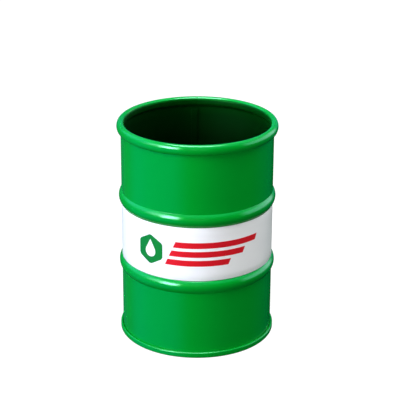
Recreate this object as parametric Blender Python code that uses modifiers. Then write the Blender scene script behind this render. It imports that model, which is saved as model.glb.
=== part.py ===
"""Miniature oil drum made as an open pen pot.

One rolled sheet of tinplate makes the wall: its top edge is rolled outward over a
steel wire, two rolling hoops are swaged into it, and its lower edge is hooked into
the rim of a pressed base in a double seam. A printed band is wrapped round the
shallow recess between the hoops. Metres, +Z up, origin under the centre of the base.
"""

import math

import bmesh
import bpy

# Overall sizes. Radii are to the outer face of the metal.
BODY_RADIUS = 0.0375
HEIGHT = 0.1102
SHEET = 0.0003

# Room left between layers folded on each other, and round the loose wire.
FOLD_GAP = 0.00011
WIRE_GAP = 0.0003

# Rolled rim.
WIRE_DIAMETER = 0.0024
RIM_HEIGHT = 0.0052
RIM_OUTSET = 0.0002
RIM_LIP_TUCK = math.radians(85)
NECK_HEIGHT = 0.002

# Printed band and the two hoops that bound it.
BAND_BOTTOM = 0.0409
BAND_HEIGHT = 0.0277
BAND_THICKNESS = 0.00015
HOOP_HEIGHT = 0.0067
HOOP_RISE = 0.00133
HOOP_FILLET = 0.0009

# Double seam at the foot, with the sealing compound in its channel.
SEAM_HEIGHT = 0.0029
SEAM_CORNER = 0.0005
COMPOUND_THICKNESS = 0.00025
COMPOUND_WIDTH = 0.0006

# Pressed base: a countersink ridge beside the wall, then a stepped panel.
COUNTERSINK_HEIGHT = 0.0044
COUNTERSINK_RADIUS = 0.0006
PANEL_HEIGHT = 0.0029
PANEL_CORNER = 0.0005
PANEL_STEP = 0.00045
PANEL_STEP_RADIUS = 0.0275
PANEL_STEP_RUN = 0.0008

# Side seam at the back (+Y): a joggled lap in the wall, a plain butt joint through the
# rim and the foot, where the sheet is notched so that the folds stay one layer thick.
BUTT_GAP = 0.00015
LAP_SLOT = 0.0006
LAP_JOGGLE = 0.0004
LAP_WIDTH = 0.0032
LAP_CLEARANCE = 0.0012

# Joint of the printed band, turned away from the side seam.
BAND_JOINT = 0.0004
BAND_JOINT_TURN = math.radians(15)

# Sides of every turned shape, the same for all so that their flats line up.
SIDES = 48
NECK_STEPS = 4
WIRE_SIDES = 10
MERGE = 0.00001
SHARP = math.radians(40)

# Worked out from the above. Radii from here on are to the middle of the sheet.
HALF = SHEET / 2
LAYER = SHEET + FOLD_GAP
WALL = BODY_RADIUS - HALF
BAND_WALL = WALL - BAND_THICKNESS - FOLD_GAP
BAND_TOP = BAND_BOTTOM + BAND_HEIGHT
BEAD = WIRE_DIAMETER / 2 + WIRE_GAP + HALF
BEAD_CENTRE = BODY_RADIUS + RIM_OUTSET
WIRE_LEVEL = HEIGHT - BEAD - HALF
LIP_LEVEL = HEIGHT - RIM_HEIGHT + BEAD + HALF
NECK_FOOT = LIP_LEVEL - NECK_HEIGHT
FOLD_CENTRE = WALL + LAYER
SEAM_TOP_CENTRE = SEAM_HEIGHT - LAYER - HALF
BODY_HOOK_LEVEL = SHEET + 2 * FOLD_GAP + COMPOUND_THICKNESS + HALF + LAYER
LAP_TOP = NECK_FOOT - LAP_CLEARANCE
LAP_BOTTOM = COUNTERSINK_HEIGHT + LAP_CLEARANCE


def arc(centre, radius, start, end, steps):
    """Points of an arc in the (radius, height) plane, both ends included."""
    turns = (start + (end - start) * i / steps for i in range(steps + 1))
    return [(centre[0] + radius * math.cos(a), centre[1] + radius * math.sin(a)) for a in turns]


def half_hoop(base, middle, side):
    """From the crown of a hoop to the wall, upward for side 1 and downward for side -1."""
    crown = WALL + HOOP_RISE
    rise = crown - base
    reach = (rise ** 2 + (HOOP_HEIGHT / 2) ** 2) / (2 * rise)
    lean = math.asin(HOOP_HEIGHT / 2 / reach)
    radius = reach - HOOP_FILLET
    fillet_centre = (base + HOOP_FILLET, middle + side * HOOP_HEIGHT / 2)
    dome = arc((crown - radius, middle), radius, 0, side * lean, 3)
    fillet = arc(fillet_centre, HOOP_FILLET, math.pi + side * lean, math.pi, 2)
    return dome + fillet[1:]


def hoop(upper_base, lower_base, middle):
    """One rolling hoop, from top to bottom."""
    upper = half_hoop(upper_base, middle, 1)
    lower = half_hoop(lower_base, middle, -1)
    return upper[::-1] + lower[1:]


def neck_profile():
    """From inside the rolled rim out to the wall, in one easy curve."""
    inner = BEAD_CENTRE - BEAD
    shares = [i / NECK_STEPS for i in range(NECK_STEPS + 1)]
    spreads = [(1 - math.cos(math.pi * share)) / 2 for share in shares]
    return [
        (inner + (WALL - inner) * spread, LIP_LEVEL - NECK_HEIGHT * share)
        for share, spread in zip(shares, spreads)
    ]


def hoops_profile():
    """Both hoops, from the top of the upper one to the foot of the lower one."""
    upper = hoop(WALL, BAND_WALL, BAND_TOP + HOOP_HEIGHT / 2)
    lower = hoop(BAND_WALL, WALL, BAND_BOTTOM - HOOP_HEIGHT / 2)
    return upper + lower


def body_profile():
    """Middle line of the whole sheet, from the lip of the rim to the body hook."""
    lip = arc((BEAD_CENTRE, LIP_LEVEL), BEAD, -RIM_LIP_TUCK, 0, 4)
    crown = arc((BEAD_CENTRE, WIRE_LEVEL), BEAD, 0, math.pi, 8)
    fold = arc((FOLD_CENTRE, BODY_HOOK_LEVEL), LAYER, math.pi, 2 * math.pi, 4)
    hook_tip = [(FOLD_CENTRE + LAYER, SEAM_TOP_CENTRE)]
    return lip + crown + neck_profile() + hoops_profile() + fold + hook_tip


def base_profile():
    """Middle line of the base sheet, from the cover hook to the centre of the panel."""
    outer = FOLD_CENTRE + 2 * LAYER
    inner = FOLD_CENTRE - 2 * LAYER
    corner = SEAM_CORNER + HALF
    hook_tip = [(FOLD_CENTRE, BODY_HOOK_LEVEL)]
    fold = arc((FOLD_CENTRE + LAYER, SEAM_TOP_CENTRE), LAYER, math.pi, 0, 4)
    outer_corner = arc((outer - corner, corner + HALF), corner, 0, -math.pi / 2, 3)
    inner_corner = arc((inner + corner, corner + HALF), corner, -math.pi / 2, -math.pi, 3)
    ridge_centre = (inner - COUNTERSINK_RADIUS, COUNTERSINK_HEIGHT - COUNTERSINK_RADIUS - HALF)
    ridge = arc(ridge_centre, COUNTERSINK_RADIUS, 0, math.pi, 5)
    panel_edge = inner - 2 * COUNTERSINK_RADIUS - PANEL_CORNER
    panel_corner = arc((panel_edge, PANEL_HEIGHT + PANEL_CORNER), PANEL_CORNER, 0, -math.pi / 2, 3)
    step = [
        (PANEL_STEP_RADIUS + PANEL_STEP_RUN / 2, PANEL_HEIGHT),
        (PANEL_STEP_RADIUS - PANEL_STEP_RUN / 2, PANEL_HEIGHT + PANEL_STEP),
        (0.0, PANEL_HEIGHT + PANEL_STEP),
    ]
    return hook_tip + fold + outer_corner + inner_corner + ridge + panel_corner + step


def material(name, colour, roughness, metallic):
    """A plain finish."""
    made = bpy.data.materials.new(name)
    made.use_nodes = True
    shader = made.node_tree.nodes["Principled BSDF"]
    shader.inputs["Base Color"].default_value = (*colour, 1.0)
    shader.inputs["Roughness"].default_value = roughness
    shader.inputs["Metallic"].default_value = metallic
    return made


def add_object(name, mesh, collection, finish):
    """Put a mesh in the drum's collection under its own name."""
    made = bpy.data.objects.new(name, mesh)
    made.data.materials.append(finish)
    collection.objects.link(made)
    return made


def turned(name, profile, closed=False):
    """A surface made by turning a profile round the Z axis, as a bmesh."""
    mesh = bpy.data.meshes.new(name)
    links = [(i, i + 1) for i in range(len(profile) - 1)]
    if closed:
        links.append((len(profile) - 1, 0))
    mesh.from_pydata([(r, 0.0, z) for r, z in profile], links, [])
    guide = bpy.data.objects.new(name, mesh)
    bpy.context.scene.collection.objects.link(guide)
    screw = guide.modifiers.new("Screw", "SCREW")
    screw.axis = "Z"
    screw.steps = SIDES
    screw.render_steps = SIDES
    screw.use_merge_vertices = True
    screw.merge_threshold = MERGE
    seen = guide.evaluated_get(bpy.context.evaluated_depsgraph_get())
    shape = bmesh.new()
    shape.from_mesh(seen.to_mesh())
    bpy.data.objects.remove(guide)
    return shape


def to_mesh(name, shape):
    """Finish a bmesh as a smooth-shaded mesh."""
    mesh = bpy.data.meshes.new(name)
    bmesh.ops.recalc_face_normals(shape, faces=shape.faces)
    shape.to_mesh(mesh)
    shape.free()
    mesh.shade_smooth()
    mesh.set_sharp_from_angle(angle=SHARP)
    return mesh


def split(shape, faces, point, normal):
    """Cut these faces along a plane."""
    edges = {e for f in faces for e in f.edges}
    verts = {v for f in faces for v in f.verts}
    geometry = list(faces) + list(edges) + list(verts)
    bmesh.ops.bisect_plane(shape, geom=geometry, dist=MERGE / 10, plane_co=point, plane_no=normal)


def open_joint(shape, width, low=0.0, high=HEIGHT):
    """Cut a slot of this width through a turned sheet at the back, between two heights."""

    def faces_within(reach, bottom, top):
        found = []
        for face in shape.faces:
            centre = face.calc_center_median()
            if centre.y > 0 and abs(centre.x) < reach and bottom < centre.z < top:
                found.append(face)
        return found

    beside = BODY_RADIUS * math.sin(2 * math.pi / SIDES)
    for level in (low, high):
        split(shape, faces_within(beside, 0.0, HEIGHT), (0, 0, level), (0, 0, 1))
    for edge in (width / 2, -width / 2):
        split(shape, faces_within(beside, low, high), (edge, 0, 0), (1, 0, 0))
    bmesh.ops.delete(shape, geom=faces_within(width / 2, low, high), context="FACES")


def set_in(profile, depth):
    """The profile moved inward, square to itself."""
    moved = []
    for i, (r, z) in enumerate(profile):
        before = profile[max(i - 1, 0)]
        after = profile[min(i + 1, len(profile) - 1)]
        along = (after[0] - before[0], after[1] - before[1])
        length = math.hypot(*along)
        moved.append((r + along[1] / length * depth, z - along[0] / length * depth))
    return moved


def add_lap(shape):
    """Extend one edge of the slot into a tongue that passes behind the other edge."""
    slope = math.tan(math.pi / SIDES)
    outline = [(WALL, LAP_TOP)] + hoops_profile() + [(WALL, LAP_BOTTOM)]
    behind = set_in(outline, LAYER)

    def on_edge(vert):
        across = abs(vert.co.x - LAP_SLOT / 2) < MERGE and vert.co.y > 0
        return across and LAP_BOTTOM - MERGE < vert.co.z < LAP_TOP + MERGE

    edges = [e for e in shape.edges if e.is_boundary and all(on_edge(v) for v in e.verts)]
    place = {}
    for vert in {v for e in edges for v in e.verts}:
        radius = vert.co.y + LAP_SLOT / 2 * slope
        misses = [math.hypot(r - radius, z - vert.co.z) for r, z in outline]
        place[vert.co.z] = behind[misses.index(min(misses))]
    for across in (LAP_SLOT / 2 - LAP_JOGGLE, LAP_SLOT / 2 - LAP_JOGGLE - LAP_WIDTH):
        grown = bmesh.ops.extrude_edge_only(shape, edges=edges)["geom"]
        edges = [g for g in grown if isinstance(g, bmesh.types.BMEdge)]
        following = {}
        for vert in [g for g in grown if isinstance(g, bmesh.types.BMVert)]:
            radius, height = place[vert.co.z]
            vert.co = (across, radius - abs(across) * slope, height)
            following[vert.co.z] = (radius, height)
        place = following


def solidify(made, thickness):
    """Give a sheet its thickness, half to each side of its middle surface."""
    modifier = made.modifiers.new("Sheet", "SOLIDIFY")
    modifier.thickness = thickness
    modifier.offset = 0.0
    modifier.use_even_offset = True


def build_body(collection, finish):
    shape = turned("body_shell", body_profile())
    open_joint(shape, BUTT_GAP)
    open_joint(shape, LAP_SLOT, LAP_BOTTOM, LAP_TOP)
    add_lap(shape)
    solidify(add_object("body_shell", to_mesh("body_shell", shape), collection, finish), SHEET)


def build_base(collection, finish):
    shape = turned("base_panel", base_profile())
    solidify(add_object("base_panel", to_mesh("base_panel", shape), collection, finish), SHEET)


def build_wire(collection, finish):
    bpy.ops.mesh.primitive_torus_add(
        location=(0, 0, WIRE_LEVEL),
        major_segments=SIDES,
        minor_segments=WIRE_SIDES,
        major_radius=BEAD_CENTRE,
        minor_radius=WIRE_DIAMETER / 2,
    )
    wire = bpy.context.object
    wire.name = "rim_wire"
    wire.data.materials.append(finish)
    wire.data.shade_smooth()
    for home in wire.users_collection:
        home.objects.unlink(wire)
    collection.objects.link(wire)


def build_compound(collection, finish):
    inner = FOLD_CENTRE - COMPOUND_WIDTH / 2
    outer = FOLD_CENTRE + COMPOUND_WIDTH / 2
    low = SHEET + FOLD_GAP
    high = low + COMPOUND_THICKNESS
    section = [(outer, high), (outer, low), (inner, low), (inner, high)]
    shape = turned("seam_compound", section, closed=True)
    add_object("seam_compound", to_mesh("seam_compound", shape), collection, finish)


def build_band(collection, finish):
    radius = BAND_WALL + HALF + FOLD_GAP + BAND_THICKNESS / 2
    low = BAND_BOTTOM + FOLD_GAP
    high = BAND_TOP - FOLD_GAP
    shape = turned("label_band", [(radius, high), (radius, low)])
    open_joint(shape, BAND_JOINT)
    band = add_object("label_band", to_mesh("label_band", shape), collection, finish)
    band.rotation_euler.z = BAND_JOINT_TURN
    solidify(band, BAND_THICKNESS)


def build():
    for old in list(bpy.data.objects):
        bpy.data.objects.remove(old)
    collection = bpy.data.collections.new("oil_drum_pen_pot")
    bpy.context.scene.collection.children.link(collection)
    enamel = material("green_enamel", (0.003, 0.30, 0.06), 0.2, 0.0)
    wire_steel = material("wire_steel", (0.55, 0.55, 0.56), 0.35, 1.0)
    compound = material("seam_compound", (0.55, 0.5, 0.42), 0.6, 0.0)
    print_white = material("band_white", (0.86, 0.88, 0.9), 0.3, 0.0)
    build_body(collection, enamel)
    build_base(collection, enamel)
    build_wire(collection, wire_steel)
    build_compound(collection, compound)
    build_band(collection, print_white)


build()
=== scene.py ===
"""Miniature oil drum made as an open pen pot: the finished surfaces, the stage and the lights.

Metres, +Z up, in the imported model's frame: the drum stands at the origin, -Y is its front
and the side seam is at the back.
"""

import math

import bmesh
import bpy
from mathutils import Matrix, Vector


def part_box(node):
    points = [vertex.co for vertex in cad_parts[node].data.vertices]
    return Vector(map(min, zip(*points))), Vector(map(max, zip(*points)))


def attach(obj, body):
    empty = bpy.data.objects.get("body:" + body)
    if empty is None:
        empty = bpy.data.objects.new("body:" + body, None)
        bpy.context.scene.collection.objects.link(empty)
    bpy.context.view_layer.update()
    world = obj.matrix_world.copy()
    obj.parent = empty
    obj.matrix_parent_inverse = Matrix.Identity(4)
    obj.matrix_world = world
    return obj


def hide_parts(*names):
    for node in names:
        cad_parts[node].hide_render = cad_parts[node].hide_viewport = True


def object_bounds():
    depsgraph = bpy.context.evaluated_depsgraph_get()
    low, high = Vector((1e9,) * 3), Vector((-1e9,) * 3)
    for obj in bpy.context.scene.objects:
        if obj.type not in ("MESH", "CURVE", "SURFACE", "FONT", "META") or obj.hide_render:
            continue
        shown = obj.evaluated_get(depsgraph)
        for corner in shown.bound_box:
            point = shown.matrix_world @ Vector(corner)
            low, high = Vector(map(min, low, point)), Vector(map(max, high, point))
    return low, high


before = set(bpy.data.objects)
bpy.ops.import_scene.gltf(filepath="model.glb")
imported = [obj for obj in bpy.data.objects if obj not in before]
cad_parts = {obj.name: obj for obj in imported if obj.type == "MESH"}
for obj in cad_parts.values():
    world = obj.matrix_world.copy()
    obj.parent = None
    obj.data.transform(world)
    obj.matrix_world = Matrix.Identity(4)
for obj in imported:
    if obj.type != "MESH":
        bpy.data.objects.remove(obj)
cad_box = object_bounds()
bpy.ops.object.select_all(action="DESELECT")

# The drum's own measures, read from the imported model.
HEIGHT = cad_box[1].z
RIM_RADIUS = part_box("body_shell")[1].x
BAND_BOTTOM, BAND_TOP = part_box("label_band")[0].z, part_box("label_band")[1].z
BODY_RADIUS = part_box("label_band")[1].x
BASE_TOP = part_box("base_panel")[1].z
WIRE_LEVEL = (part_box("rim_wire")[0].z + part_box("rim_wire")[1].z) / 2

# Sheet metal.
SHEET = 0.0003
FOLD_GAP = 0.00011
HALF = SHEET / 2
LAYER = SHEET + FOLD_GAP
WALL = BODY_RADIUS - HALF

# How finely round shapes are cut: facets round the drum, two facets' width, and a hair's width.
SIDES = 160
FACET_REACH = 4 * math.pi * BODY_RADIUS / SIDES
FINE = 0.000001

# Rolled rim and the neck below it.
RIM_HEIGHT = 0.0052
BEAD = HEIGHT - HALF - WIRE_LEVEL
BEAD_CENTRE = RIM_RADIUS - HALF - BEAD
LIP_LEVEL = HEIGHT - RIM_HEIGHT + BEAD + HALF
LIP_TUCK = math.radians(88)
NECK_HEIGHT = 0.002
NECK_STEPS = 12

# Band and hoops.
BAND_THICKNESS = 0.00015
BAND_EDGE = 0.00005
BAND_WALL = WALL - BAND_THICKNESS - FOLD_GAP
HOOP_HEIGHT = 0.0067
HOOP_RISE = 0.00133
HOOP_FILLET = 0.00045
UPPER_HOOP = BAND_TOP + FOLD_GAP + HOOP_HEIGHT / 2
LOWER_HOOP = BAND_BOTTOM - FOLD_GAP - HOOP_HEIGHT / 2

# Double seam and base.
SEAM_HEIGHT = 0.0029
SEAM_CORNER = 0.0005
COMPOUND_THICKNESS = 0.00025
FOLD_CENTRE = WALL + LAYER
SEAM_TOP_CENTRE = SEAM_HEIGHT - LAYER - HALF
BODY_HOOK_LEVEL = SHEET + 2 * FOLD_GAP + COMPOUND_THICKNESS + HALF + LAYER
COUNTERSINK_RADIUS = 0.0006
PANEL_HEIGHT = 0.0029
PANEL_CORNER = 0.0005
PANEL_STEP = 0.00045
PANEL_STEP_RADIUS = 0.0275
PANEL_STEP_RUN = 0.0016
PANEL_STEPS = 8
PANEL_RINGS = (0.018, 0.009, 0.002)

# Side seam at the back: a fine groove outside, the lapped edge of the sheet inside.
GROOVE_WIDTH = 0.0004
GROOVE_DEPTH = 0.00009
LAP_WIDTH = 0.0032
LAP_CLEARANCE = 0.0012
LAP_TOP = LIP_LEVEL - NECK_HEIGHT - LAP_CLEARANCE
LAP_BOTTOM = BASE_TOP + LAP_CLEARANCE
BAND_JOINT = 0.00015
BAND_JOINT_TURN = math.radians(15)

# Printing on the band: a hexagon with blunted corners, a drop on it, and slanted stripes.
# A corner's distance is a share of a flat's, and the drop's belly hangs by a share of its radius.
INK = 0.00003
INK_GAP = 0.000005
EMBLEM_TURN = math.radians(-36.6)
EMBLEM_SPAN = 0.0136
EMBLEM_CORNER = 1.1
DROP_RADIUS = 0.0029
DROP_TIP = 0.0052
DROP_HANG = 0.35
DROP_STEPS = 24
STRIPES_START = math.radians(-20)
STRIPE_ENDS = (math.radians(46), math.radians(37), math.radians(28))
STRIPE_HEIGHT = 0.0030
STRIPE_PITCH = 0.0046
STRIPE_SLANT = math.radians(24)

# Painted shade inside the pot: how squarely a face looks at the axis to take it, above the wire and
# below it, how far a face of the base looks up, and the depth at which the painted shade is darkest.
SHOULDER_FACING = 0.75
WALL_FACING = 0.2
BASE_FACING = 0.1
SHADE_FADE_DEPTH = 0.032

# Camera: distance from the point it sights, lens in millimetres, and how far off it is aimed.
CAMERA_DISTANCE = 0.7169
CAMERA_ELEVATION = math.radians(22.52)
CAMERA_ROLL = math.radians(0.28)
CAMERA_LENS = 128.9
SIGHT_HEIGHT = 0.0553
AIM_RIGHT = 0.00143
AIM_UP = 0.01194

# Stage: the floor, what the gloss mirrors between the cards, and the even light all round.
FLOOR_SIZE = 6.0
FLOOR_DROP = 0.0001
MIRRORED_GROUND = (0.0, 0.05, 0.025)
EVEN_LIGHT = (0.12, 0.12, 0.12)


# ---------------------------------------------------------------- shader expressions

class Sock:
    """A node socket that can be used in arithmetic: each operation adds a Math node."""

    def __init__(self, tree, socket):
        self.tree = tree
        self.socket = socket

    def math(self, operation, *others):
        return maths(self.tree, operation, self, *others)

    def __add__(self, other):
        return self.math("ADD", other)

    def __radd__(self, other):
        return self.math("ADD", other)

    def __sub__(self, other):
        return self.math("SUBTRACT", other)

    def __rsub__(self, other):
        return maths(self.tree, "SUBTRACT", other, self)

    def __mul__(self, other):
        return self.math("MULTIPLY", other)

    def __rmul__(self, other):
        return self.math("MULTIPLY", other)

    def __truediv__(self, other):
        return self.math("DIVIDE", other)

    def __rtruediv__(self, other):
        return maths(self.tree, "DIVIDE", other, self)


def maths(tree, operation, *values):
    """A Math node on sockets and plain numbers."""
    node = tree.nodes.new("ShaderNodeMath")
    node.operation = operation
    for place, value in zip(node.inputs, values):
        put(tree, place, value)
    return Sock(tree, node.outputs[0])


def put(tree, place, value):
    """Link a socket, or set a plain value."""
    if isinstance(value, Sock):
        tree.links.new(value.socket, place)
    elif isinstance(value, tuple) and place.type == "RGBA" and len(value) == 3:
        place.default_value = (*value, 1.0)
    else:
        place.default_value = value


class Nodes:
    """A node tree and short ways to add to it."""

    def __init__(self, tree):
        self.tree = tree

    def node(self, kind, out=0, ramp=None, sockets=None, **settings):
        """Any node: its settings first, then its sockets' values or links; returns an output."""
        made = self.tree.nodes.new(kind)
        for key, value in settings.items():
            setattr(made, key, value)
        if ramp:
            stops = made.color_ramp.elements
            while len(stops) < len(ramp):
                stops.new(0.5)
            for stop, (position, colour) in zip(stops, ramp):
                stop.position = position
                stop.color = (*colour, 1.0)
        for key, value in (sockets or {}).items():
            put(self.tree, made.inputs[key], value)
        return Sock(self.tree, made.outputs[out])

    def place(self, kind="Object"):
        """Coordinates of the given kind and their three parts."""
        spot = self.node("ShaderNodeTexCoord", out=kind)
        parts = self.node("ShaderNodeSeparateXYZ", sockets={"Vector": spot}).socket.node
        return spot, [Sock(self.tree, part) for part in parts.outputs]

    def noise(self, spot, scale, detail=3.0, roughness=0.5):
        sockets = {"Vector": spot, "Scale": scale, "Detail": detail, "Roughness": roughness}
        return self.node("ShaderNodeTexNoise", sockets=sockets)

    def mix(self, factor, one, two):
        """Mix two colours: the node's colour sockets are 6 and 7, and its colour output is 2."""
        sockets = {0: factor, 6: one, 7: two}
        return self.node("ShaderNodeMix", out=2, data_type="RGBA", sockets=sockets)

    def smooth(self, value, low, high):
        """0 below low, 1 above high, eased between."""
        sockets = {"Value": value, "From Min": low, "From Max": high}
        return self.node("ShaderNodeMapRange", interpolation_type="SMOOTHSTEP", sockets=sockets)


class Finish(Nodes):
    """A material made of nodes, with its Principled shader at hand."""

    def __init__(self, name):
        self.material = bpy.data.materials.new(name)
        self.material.use_nodes = True
        super().__init__(self.material.node_tree)
        self.shader = self.tree.nodes["Principled BSDF"]

    def bump(self, height, distance):
        sockets = {"Height": height, "Distance": distance, "Strength": 1.0}
        normal = self.node("ShaderNodeBump", sockets=sockets)
        put(self.tree, self.shader.inputs["Normal"], normal)

    def set(self, **values):
        """Set the shader's sockets; an underscore stands for a space."""
        for key, value in values.items():
            put(self.tree, self.shader.inputs[key.replace("_", " ")], value)


# ---------------------------------------------------------------- finishes

def green_enamel():
    """Stoved gloss enamel: even green, faint orange peel, a touch uneven in gloss."""
    made = Finish("green_enamel")
    spot, _ = made.place()
    cloud = made.noise(spot, 45.0, 2.0)
    fleck = made.noise(spot, 900.0, 3.0)
    peel = made.noise(spot, 380.0, 2.0)
    colour = made.mix(cloud, (0.0, 0.275, 0.0175), (0.0, 0.298, 0.0195))
    made.set(
        Base_Color=colour,
        Roughness=0.13 + fleck * 0.04 + cloud * 0.02,
        Specular_Tint=(0.45, 1.0, 0.95),
        IOR=1.5,
    )
    made.bump(peel, 0.000002)
    return made.material


def inside_painted_shade():
    """Inside of the pot: the enamel's green at the rim, darkened with depth to near black as painted
    shade.
    """
    made = Finish("inside_painted_shade")
    spot, (_, _, z) = made.place()
    cloud = made.noise(spot, 60.0, 3.0)
    speck = made.noise(spot, 1400.0, 2.0)
    depth = (HEIGHT - z + (cloud - 0.5) * 0.0012) / SHADE_FADE_DEPTH
    # Green at the rim, darker with depth down to near black: painted shade.
    stops = [
        (0.0, (0.0, 0.24, 0.016)),
        (0.02, (0.0, 0.12, 0.007)),
        (0.05, (0.0, 0.026, 0.001)),
        (0.30, (0.0, 0.009, 0.0003)),
        (1.0, (0.0, 0.003, 0.0)),
    ]
    colour = made.node("ShaderNodeValToRGB", ramp=stops, sockets={"Fac": depth})
    made.set(
        Base_Color=colour,
        Roughness=0.45 + speck * 0.12,
        Specular_Tint=(0.2, 1.0, 0.5),
        Specular_IOR_Level=0.12,
    )
    made.bump(speck, 0.000006)
    return made.material


def band_film():
    """White gloss film, faintly clouded where it has taken up the sheet's unevenness."""
    made = Finish("band_film")
    spot, _ = made.place()
    cloud = made.noise(spot, 70.0, 3.0)
    grain = made.noise(spot, 1500.0, 2.0)
    colour = made.mix(made.smooth(cloud, 0.35, 0.75), (0.935, 0.955, 0.965), (0.96, 0.98, 0.985))
    made.set(Base_Color=colour, Roughness=0.28 + grain * 0.08, IOR=1.45)
    made.bump(cloud, 0.00002)
    return made.material


def ink(name, colour, darker):
    """Printing ink, lying slightly uneven."""
    made = Finish(name)
    spot, _ = made.place()
    lay = made.noise(spot, 700.0, 3.0)
    made.set(Base_Color=made.mix(lay, darker, colour), Roughness=0.3 + lay * 0.12, IOR=1.45)
    made.bump(lay, 0.000003)
    return made.material


def wire_steel():
    """Drawn steel wire."""
    made = Finish("wire_steel")
    spot, _ = made.place()
    draw = made.noise(spot, 900.0, 4.0)
    colour = made.mix(draw, (0.42, 0.42, 0.43), (0.62, 0.62, 0.63))
    made.set(Base_Color=colour, Metallic=1.0, Roughness=0.28 + draw * 0.2)
    made.bump(draw, 0.000004)
    return made.material


def lining_compound():
    """Dried lining compound."""
    made = Finish("seam_compound")
    spot, _ = made.place()
    grain = made.noise(spot, 1200.0, 4.0)
    colour = made.mix(grain, (0.42, 0.38, 0.31), (0.6, 0.55, 0.46))
    made.set(Base_Color=colour, Roughness=0.6 + grain * 0.2)
    made.bump(grain, 0.00001)
    return made.material


# ---------------------------------------------------------------- profiles

def arc(centre, radius, start, end, steps):
    """Points of an arc in the (radius, height) plane, both ends included."""
    turns = (start + (end - start) * i / steps for i in range(steps + 1))
    return [(centre[0] + radius * math.cos(a), centre[1] + radius * math.sin(a)) for a in turns]


def half_hoop(base, middle, side):
    """From the crown of a hoop to the wall, upward for side 1 and downward for side -1."""
    crown = WALL + HOOP_RISE
    rise = crown - base
    reach = (rise ** 2 + (HOOP_HEIGHT / 2) ** 2) / (2 * rise)
    lean = math.asin(HOOP_HEIGHT / 2 / reach)
    radius = reach - HOOP_FILLET
    fillet_centre = (base + HOOP_FILLET, middle + side * HOOP_HEIGHT / 2)
    dome = arc((crown - radius, middle), radius, 0, side * lean, steps=9)
    fillet = arc(fillet_centre, HOOP_FILLET, math.pi + side * lean, math.pi, steps=6)
    return dome + fillet[1:]


def hoop(upper_base, lower_base, middle):
    """One rolling hoop, from top to bottom."""
    upper = half_hoop(upper_base, middle, 1)
    lower = half_hoop(lower_base, middle, -1)
    return upper[::-1] + lower[1:]


def run(start, end, steps):
    """Points along a straight stretch, without its ends."""
    across, up = end[0] - start[0], end[1] - start[1]
    shares = (i / steps for i in range(1, steps))
    return [(start[0] + across * share, start[1] + up * share) for share in shares]


def ease(share):
    """From 0 to 1 with a soft start and a soft end."""
    return (1 - math.cos(math.pi * share)) / 2


def neck_profile():
    """From inside the rolled rim out to the wall, in one easy curve."""
    inner = BEAD_CENTRE - BEAD
    shares = (i / NECK_STEPS for i in range(NECK_STEPS + 1))
    return [
        (inner + (WALL - inner) * ease(share), LIP_LEVEL - NECK_HEIGHT * share)
        for share in shares
    ]


def hoops_profile():
    """Both hoops, from the top of the upper one to the foot of the lower one."""
    upper = hoop(WALL, BAND_WALL, UPPER_HOOP)
    lower = hoop(BAND_WALL, WALL, LOWER_HOOP)
    return upper + run(upper[-1], lower[0], steps=4) + lower


def body_profile():
    """Middle line of the whole sheet, from the lip of the rim to the body hook."""
    bulge = (RIM_HEIGHT - SHEET) / 2
    curl = [
        (BEAD_CENTRE + out * BEAD, HEIGHT - RIM_HEIGHT / 2 + up * bulge)
        for out, up in arc((0, 0), 1, -LIP_TUCK, math.pi / 2, steps=30)
    ]
    crown = arc((BEAD_CENTRE, WIRE_LEVEL), BEAD, math.pi / 2, math.pi, steps=14)[1:]
    neck = neck_profile()
    hoops = hoops_profile()
    fold = arc((FOLD_CENTRE, BODY_HOOK_LEVEL), LAYER, math.pi, 2 * math.pi, steps=10)
    hook_tip = [(FOLD_CENTRE + LAYER, SEAM_TOP_CENTRE)]
    upper_wall = run(neck[-1], hoops[0], steps=5)
    lower_wall = run(hoops[-1], fold[0], steps=5)
    return curl + crown + neck + upper_wall + hoops + lower_wall + fold + hook_tip


def panel_profile():
    """The panel's soft step up, and its flat top in to the middle."""
    shares = (i / PANEL_STEPS for i in range(PANEL_STEPS + 1))
    step = [
        (PANEL_STEP_RADIUS + PANEL_STEP_RUN * (0.5 - share), PANEL_HEIGHT + PANEL_STEP * ease(share))
        for share in shares
    ]
    return step + [(radius, PANEL_HEIGHT + PANEL_STEP) for radius in PANEL_RINGS]


def base_profile():
    """Middle line of the base sheet, from the cover hook to the middle of the panel."""
    outer = FOLD_CENTRE + 2 * LAYER
    inner = FOLD_CENTRE - 2 * LAYER
    corner = SEAM_CORNER + HALF
    hook_tip = [(FOLD_CENTRE, BODY_HOOK_LEVEL)]
    fold = arc((FOLD_CENTRE + LAYER, SEAM_TOP_CENTRE), LAYER, math.pi, 0, steps=12)
    outer_corner = arc((outer - corner, corner + HALF), corner, 0, -math.pi / 2, steps=8)
    inner_corner = arc((inner + corner, corner + HALF), corner, -math.pi / 2, -math.pi, steps=8)
    ridge_centre = (inner - COUNTERSINK_RADIUS, BASE_TOP - COUNTERSINK_RADIUS - HALF)
    ridge = arc(ridge_centre, COUNTERSINK_RADIUS, 0, math.pi, steps=14)
    edge_centre = (inner - 2 * COUNTERSINK_RADIUS - PANEL_CORNER, PANEL_HEIGHT + PANEL_CORNER)
    panel_edge = arc(edge_centre, PANEL_CORNER, 0, -math.pi / 2, steps=7)
    return hook_tip + fold + outer_corner + inner_corner + ridge + panel_edge + panel_profile()


# ---------------------------------------------------------------- modelling

def choose(*pieces):
    """Select these pieces and nothing else; the last one is the active one."""
    bpy.ops.object.select_all(action="DESELECT")
    for piece in pieces:
        piece.select_set(True)
    bpy.context.view_layer.objects.active = pieces[-1]


def edit(piece):
    """Open a piece for editing, with all of it selected."""
    choose(piece)
    bpy.ops.object.mode_set(mode="EDIT")
    bpy.ops.mesh.select_mode(type="VERT")
    bpy.ops.mesh.select_all(action="SELECT")


def done():
    """Close the piece that is open for editing."""
    bpy.ops.object.mode_set(mode="OBJECT")


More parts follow.
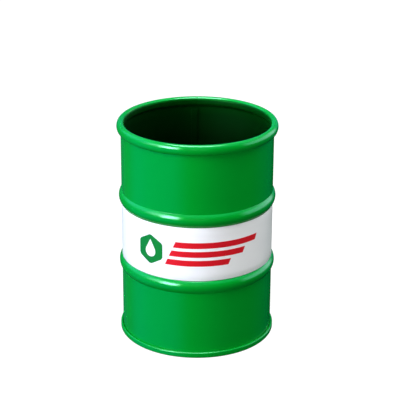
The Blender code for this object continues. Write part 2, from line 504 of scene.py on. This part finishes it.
def apply(piece, kind, **settings):
    """Add a modifier and apply it."""
    choose(piece)
    modifier = piece.modifiers.new(kind, kind)
    for key, value in settings.items():
        setattr(modifier, key, value)
    bpy.ops.object.modifier_apply(modifier=modifier.name)


def settle(piece, finishes, smooth_angle=math.radians(32)):
    """Put a finished piece's place in its mesh, give it its finishes and shade it."""
    choose(piece)
    bpy.ops.object.transform_apply(location=True, rotation=True, scale=True)
    piece.data.materials.clear()
    for finish in finishes:
        piece.data.materials.append(finish)
    bpy.ops.object.shade_smooth_by_angle(angle=smooth_angle)


def spun_sheet(name, profile, close_middle=False):
    """A ring drawn out along a profile: extruded, resized and lifted point by point."""
    radius, height = profile[0]
    bpy.ops.mesh.primitive_circle_add(vertices=SIDES, radius=radius, location=(0, 0, height))
    piece = bpy.context.object
    piece.name = name
    piece.data.name = name
    bpy.ops.object.transform_apply(location=True)
    edit(piece)
    for next_radius, next_height in profile[1:]:
        lift = {"value": (0, 0, next_height - height)}
        bpy.ops.mesh.extrude_region_move(TRANSFORM_OT_translate=lift)
        share = next_radius / radius
        bpy.ops.transform.resize(value=(share, share, 1))
        radius, height = next_radius, next_height
    if close_middle:
        bpy.ops.mesh.edge_face_add()
        bpy.ops.mesh.poke()
    bpy.ops.mesh.select_all(action="SELECT")
    bpy.ops.mesh.normals_make_consistent(inside=False)
    done()
    return piece


def pick(piece, wanted, kind="VERT"):
    """In edit mode, select only the vertices or faces for which wanted(place) holds."""
    bpy.ops.mesh.select_mode(type=kind)
    bpy.ops.mesh.select_all(action="DESELECT")
    shape = bmesh.from_edit_mesh(piece.data)
    for part in shape.verts if kind == "VERT" else shape.faces:
        part.select_set(wanted(part.co if kind == "VERT" else part.calc_center_median()))
    bmesh.update_edit_mesh(piece.data)


def cut_away(piece, point, normal):
    """Cut a sheet along a plane and drop what lies on the side the normal points to."""
    bpy.ops.mesh.select_all(action="SELECT")
    bpy.ops.mesh.bisect(plane_co=point, plane_no=normal, clear_outer=True, threshold=FINE)


def groove(piece, width, depth):
    """Press a fine groove down the back, along the column of vertices at x = 0.

    The curl of the rim shows the sheet's other side, so it is pressed the other way.
    """
    edit(piece)
    for across in (width / 2, -width / 2):
        pick(piece, lambda c: c.y > 0 and abs(c.x) < FACET_REACH, "FACE")
        bpy.ops.mesh.bisect(plane_co=(across, 0, 0), plane_no=(1, 0, 0), threshold=FINE)
    neck_foot = LIP_LEVEL - NECK_HEIGHT
    parts = (
        (1, lambda c: SEAM_HEIGHT < c.z < neck_foot),
        (-1, lambda c: c.z > neck_foot and (c.z > LIP_LEVEL or c.xy.length > WALL + HALF)),
    )
    for side, wanted in parts:
        pick(piece, lambda c: c.y > 0 and abs(c.x) < FINE and wanted(c))
        bpy.ops.transform.shrink_fatten(value=side * depth)
    done()


def lapped_edge(outline):
    """The sheet's other edge, lying behind the seam on the inside of the wall."""
    piece = spun_sheet("lapped_edge", outline)
    edit(piece)
    cut_away(piece, (0, 0, 0), (0, -1, 0))
    cut_away(piece, (0, 0, 0), (1, 0, 0))
    cut_away(piece, (-LAP_WIDTH, 0, 0), (-1, 0, 0))
    done()
    return piece


def set_in(profile, depth):
    """The profile moved inward, square to itself."""
    moved = []
    for i, (r, z) in enumerate(profile):
        before = profile[max(i - 1, 0)]
        after = profile[min(i + 1, len(profile) - 1)]
        along = (after[0] - before[0], after[1] - before[1])
        length = math.hypot(*along)
        moved.append((r + along[1] / length * depth, z - along[0] / length * depth))
    return moved


def paint_inside_shade(piece):
    """Give the faces that look at the axis, above the wire only the steep ones, and the lap, the
    painted shade.
    """
    for face in piece.data.polygons:
        centre = face.center
        inward = -(centre.x * face.normal.x + centre.y * face.normal.y) / centre.xy.length
        facing = inward > (SHOULDER_FACING if centre.z > WIRE_LEVEL else WALL_FACING)
        lap = centre.z < LIP_LEVEL - NECK_HEIGHT and centre.xy.length < WALL - HALF - FOLD_GAP / 2
        if centre.z > SEAM_HEIGHT and (facing or lap):
            face.material_index = 1


def make_body(enamel, inside_shade):
    piece = spun_sheet("drum_wall", body_profile())
    groove(piece, GROOVE_WIDTH, GROOVE_DEPTH)
    hoops = hoops_profile()
    top, bottom = (WALL, LAP_TOP), (WALL, LAP_BOTTOM)
    upper_run, lower_run = run(top, hoops[0], steps=5), run(hoops[-1], bottom, steps=5)
    outline = [top] + upper_run + hoops + lower_run + [bottom]
    lap = lapped_edge(set_in(outline, LAYER))
    choose(lap, piece)
    bpy.ops.object.join()
    apply(piece, "SOLIDIFY", thickness=SHEET, offset=0.0, use_even_offset=True)
    settle(piece, [enamel, inside_shade])
    # The faces inside the pot take the painted shade.
    paint_inside_shade(piece)
    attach(piece, "root")
    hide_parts("body_shell")


def make_base(enamel, inside_shade):
    piece = spun_sheet("drum_base", base_profile(), close_middle=True)
    apply(piece, "SOLIDIFY", thickness=SHEET, offset=0.0, use_even_offset=True)
    settle(piece, [enamel, inside_shade])
    # The top of the base inside the pot takes the painted shade, near black at that depth.
    for face in piece.data.polygons:
        on_top = face.center.z > PANEL_HEIGHT - FINE and face.center.xy.length < WALL
        if on_top and face.normal.z > BASE_FACING:
            face.material_index = 1
    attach(piece, "root")
    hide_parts("base_panel")


def band_ring(name, radius, low, high, steps):
    """An upright ring of sheet whose facets line up with the band's."""
    heights = [high + (low - high) * i / steps for i in range(steps + 1)]
    piece = spun_sheet(name, [(radius, z) for z in heights])
    piece.rotation_euler.z = BAND_JOINT_TURN
    bpy.ops.object.transform_apply(rotation=True)
    return piece


def make_band(film):
    radius = BODY_RADIUS - BAND_THICKNESS / 2
    piece = band_ring("printed_band", radius, BAND_BOTTOM, BAND_TOP, steps=8)
    across = Vector((math.cos(BAND_JOINT_TURN), math.sin(BAND_JOINT_TURN), 0))
    behind = Vector((-across.y, across.x, 0))
    edit(piece)
    for side in (1, -1):
        pick(piece, lambda c: c.dot(behind) > 0 and abs(c.dot(across)) < FACET_REACH, "FACE")
        edge = across * side * BAND_JOINT / 2
        bpy.ops.mesh.bisect(plane_co=edge, plane_no=across, threshold=FINE)
    pick(piece, lambda c: c.dot(behind) > 0 and abs(c.dot(across)) < BAND_JOINT / 2, "FACE")
    bpy.ops.mesh.delete(type="FACE")
    done()
    apply(piece, "SOLIDIFY", thickness=BAND_THICKNESS, offset=0.0, use_even_offset=True)
    sharp = math.radians(60)
    apply(piece, "BEVEL", width=BAND_EDGE, segments=2, limit_method="ANGLE", angle_limit=sharp)
    settle(piece, [film])
    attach(piece, "root")
    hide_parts("label_band")


def finish_print(piece, finish):
    """Give a trimmed layer of ink its thickness, finish and slot."""
    done()
    apply(piece, "SOLIDIFY", thickness=INK, offset=1.0, use_even_offset=True)
    settle(piece, [finish])
    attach(piece, "root")


def printed_emblem(name, proud, sides, finish):
    """A convex figure printed on the band: each side is (turn of its outward normal, distance)."""
    middle = (BAND_BOTTOM + BAND_TOP) / 2
    low, high = middle - EMBLEM_SPAN, middle + EMBLEM_SPAN
    piece = band_ring(name, BODY_RADIUS + proud, low, high, steps=16)
    outward = Vector((math.sin(EMBLEM_TURN), -math.cos(EMBLEM_TURN), 0))
    right = Vector((math.cos(EMBLEM_TURN), math.sin(EMBLEM_TURN), 0))
    edit(piece)
    cut_away(piece, (0, 0, 0), -outward)
    for turn, distance in sides:
        normal = right * math.cos(turn) + Vector((0, 0, 1)) * math.sin(turn)
        cut_away(piece, Vector((0, 0, middle)) + normal * distance, normal)
    finish_print(piece, finish)


def drop_sides():
    """A falling drop: a round belly and two straight sides that meet in a tip above."""
    hang = DROP_HANG * DROP_RADIUS
    lean = math.acos(DROP_RADIUS / (DROP_TIP + hang))
    start = math.pi / 2 + lean
    turns = (start + (2 * math.pi - 2 * lean) * i / DROP_STEPS for i in range(DROP_STEPS + 1))
    return [(turn, DROP_RADIUS - hang * math.sin(turn)) for turn in turns]


def make_emblem(green, white):
    reach = EMBLEM_SPAN / 2
    flats = [(math.radians(60 * i), reach) for i in range(6)]
    corners = [(math.radians(60 * i + 30), reach * EMBLEM_CORNER) for i in range(6)]
    printed_emblem("band_emblem", INK_GAP, flats + corners, green)
    printed_emblem("band_drop", 2 * INK_GAP + INK, drop_sides(), white)


def make_stripes(red):
    """Three plain stripes with slanted ends, each shorter than the one above."""
    middle = (BAND_BOTTOM + BAND_TOP) / 2
    for number, end in enumerate(STRIPE_ENDS):
        level = middle + STRIPE_PITCH * (1 - number)
        low, high = level - STRIPE_HEIGHT / 2, level + STRIPE_HEIGHT / 2
        name = f"band_stripe_{number + 1}"
        piece = band_ring(name, BODY_RADIUS + INK_GAP, low, high, steps=2)
        edit(piece)
        cut_away(piece, (0, 0, 0), (0, 1, 0))
        for turn, side in ((STRIPES_START, -1), (end, 1)):
            edge = Vector((math.sin(turn), -math.cos(turn), 0)) * BODY_RADIUS
            along = Vector((math.cos(turn), math.sin(turn), 0))
            normal = along * math.cos(STRIPE_SLANT) - Vector((0, 0, 1)) * math.sin(STRIPE_SLANT)
            edge.z = middle
            cut_away(piece, edge, normal * side)
        finish_print(piece, red)


# ---------------------------------------------------------------- stage

def towards(azimuth, elevation):
    """A direction from the drum: azimuth 0 is the front, positive to the right, in degrees."""
    a, e = math.radians(azimuth), math.radians(elevation)
    return Vector((math.sin(a) * math.cos(e), -math.cos(a) * math.cos(e), math.sin(e)))


# Softboxes: name, azimuth, elevation (degrees), distance, width and height, power, colour.
LIGHTS = (
    ("left_box", -66, 22, 0.6, (0.27, 0.36), 3.0, (0.97, 1.0, 1.3)),
    ("top_left_box", -30, 60, 1.0, (0.50, 0.50), 5.0, (1.0, 1.0, 1.0)),
    ("top_box", 0, 85, 1.0, (0.50, 0.50), 2.6, (1.0, 1.0, 1.0)),
    ("front_box", 0, 14, 0.5, (0.25, 0.25), 0.86, (1.0, 1.0, 1.0)),
    ("right_box", 100, 50, 0.45, (0.20, 0.30), 1.32, (1.0, 1.0, 1.0)),
    ("mouth_light", -48, 50, 1.0, (0.20, 0.20), 1.1, (1.0, 1.0, 1.0)),
    ("back_box", 180, 40, 1.0, (0.60, 0.50), 2.0, (1.0, 1.0, 1.0)),
    ("under_box", 0, -80, 1.0, (0.50, 0.50), 0.8, (1.0, 1.0, 1.0)),
)


def soft_light(name, azimuth, elevation, distance, size, power, colour):
    """A softbox that shades the drum; what its gloss mirrors are the cards of the studio world."""
    data = bpy.data.lights.new(name, "AREA")
    data.shape = "RECTANGLE"
    data.size, data.size_y = size
    data.energy = power
    data.color = colour
    lamp = bpy.data.objects.new(name, data)
    bpy.context.scene.collection.objects.link(lamp)
    away = towards(azimuth, elevation)
    lamp.location = Vector((0, 0, SIGHT_HEIGHT)) + away * distance
    lamp.rotation_euler = away.to_track_quat("Z", "Y").to_euler()
    lamp.visible_camera = False
    lamp.visible_glossy = False


def make_floor():
    """A plain white floor, clear from below, that leaves the drum's gloss and shade alone."""
    bpy.ops.mesh.primitive_plane_add(size=FLOOR_SIZE, location=(0, 0, -FLOOR_DROP))
    floor = bpy.context.object
    floor.name = "floor"
    made = Finish("pale_floor")
    made.set(Base_Color=(0.10, 0.10, 0.10), Roughness=0.9, Specular_IOR_Level=0.0)
    made.set(Emission_Color=(1, 1, 1), Emission_Strength=1.0)
    made.set(Alpha=1.0 - made.node("ShaderNodeNewGeometry", out="Backfacing"))
    floor.data.materials.append(made.material)
    floor.visible_diffuse = False
    floor.visible_glossy = False
    floor.visible_shadow = False


# Reflection cards: azimuth, elevation, half width, half height, soft edge (degrees), colour.
CARDS = (
    (0, 58, 180, 26, 14, (0.30, 0.85, 1.15)),
    (-160, 8, 32, 16, 12, (0.07, 0.42, 0.62)),
    (160, 8, 32, 16, 12, (0.07, 0.42, 0.55)),
    (-128, -20, 40, 26, 20, (0.02, 0.27, 0.15)),
    (-68, -20, 44, 26, 18, (0.02, 0.42, 0.86)),
    (-96, 28, 34, 18, 14, (0.5, 2.2, 3.2)),
    (122, -10, 24, 14, 14, (0.0, 0.16, 0.16)),
    (104, 12, 34, 16, 8, (2.1, 2.8, 3.2)),
    (-58, 24, 14, 14, 10, (6.0, 7.5, 7.0)),
    (-40, 17, 12, 14, 5, (33.0, 32.0, 30.0)),
    (0, 86, 180, 11, 7, (5.5, 5.5, 6.5)),
    (-20, 80, 110, 11, 4, (25.0, 23.0, 25.0)),
)


def make_world():
    """White to look at, dim and even as a light, and hung with soft cards for reflections."""
    world = bpy.data.worlds.new("studio")
    bpy.context.scene.world = world
    world.use_nodes = True
    made = Nodes(world.node_tree)
    _, (x, y, z) = made.place("Generated")
    azimuth = x.math("ARCTAN2", y * -1.0)
    elevation = z.math("ARCSINE")
    colour = MIRRORED_GROUND
    for place, level, half_width, half_height, edge, tone in CARDS:
        wide, tall, soft = math.radians(half_width), math.radians(half_height), math.radians(edge)
        aside = (azimuth - math.radians(place)).math("ABSOLUTE")
        above = (elevation - math.radians(level)).math("ABSOLUTE")
        across = made.smooth(aside, wide + soft, wide - soft)
        upward = made.smooth(above, tall + soft, tall - soft)
        colour = made.mix(across * upward, colour, tone)
    glossy = made.node("ShaderNodeLightPath", out="Is Glossy Ray")
    seen = made.node("ShaderNodeLightPath", out="Is Camera Ray")
    felt = made.mix(glossy, EVEN_LIGHT, colour)
    back = made.tree.nodes["Background"]
    put(made.tree, back.inputs["Color"], made.mix(seen, felt, (1.0, 1.0, 1.0)))


def make_camera():
    data = bpy.data.cameras.new("camera")
    data.lens = CAMERA_LENS
    data.sensor_width = 36.0
    data.clip_start, data.clip_end = 0.01, 10.0
    camera = bpy.data.objects.new("camera", data)
    bpy.context.scene.collection.objects.link(camera)
    e = CAMERA_ELEVATION
    sight = Vector((0, 0, SIGHT_HEIGHT))
    camera.location = sight + CAMERA_DISTANCE * Vector((0, -math.cos(e), math.sin(e)))
    aim = sight + Vector((AIM_RIGHT, AIM_UP * math.sin(e), AIM_UP * math.cos(e)))
    turn = (camera.location - aim).to_track_quat("Z", "Y").to_matrix().to_4x4()
    camera.rotation_euler = (turn @ Matrix.Rotation(CAMERA_ROLL, 4, "Z")).to_euler()
    bpy.context.scene.camera = camera


def make_stage():
    make_floor()
    make_world()
    for light in LIGHTS:
        soft_light(*light)
    bpy.context.scene.view_settings.view_transform = "Standard"


# ---------------------------------------------------------------- the drum

make_camera()
enamel = green_enamel()
# Painted shade for the inside of the pot, darker with depth.
inside_shade = inside_painted_shade()
make_body(enamel, inside_shade)
make_base(enamel, inside_shade)
make_band(band_film())
make_emblem(ink("green_ink", (0.004, 0.180, 0.020), (0.003, 0.165, 0.017)), band_film())
make_stripes(ink("red_ink", (0.72, 0.008, 0.018), (0.66, 0.006, 0.015)))
for node, finish in (("rim_wire", wire_steel()), ("seam_compound", lining_compound())):
    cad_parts[node].data.materials.clear()
    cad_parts[node].data.materials.append(finish)
make_stage()
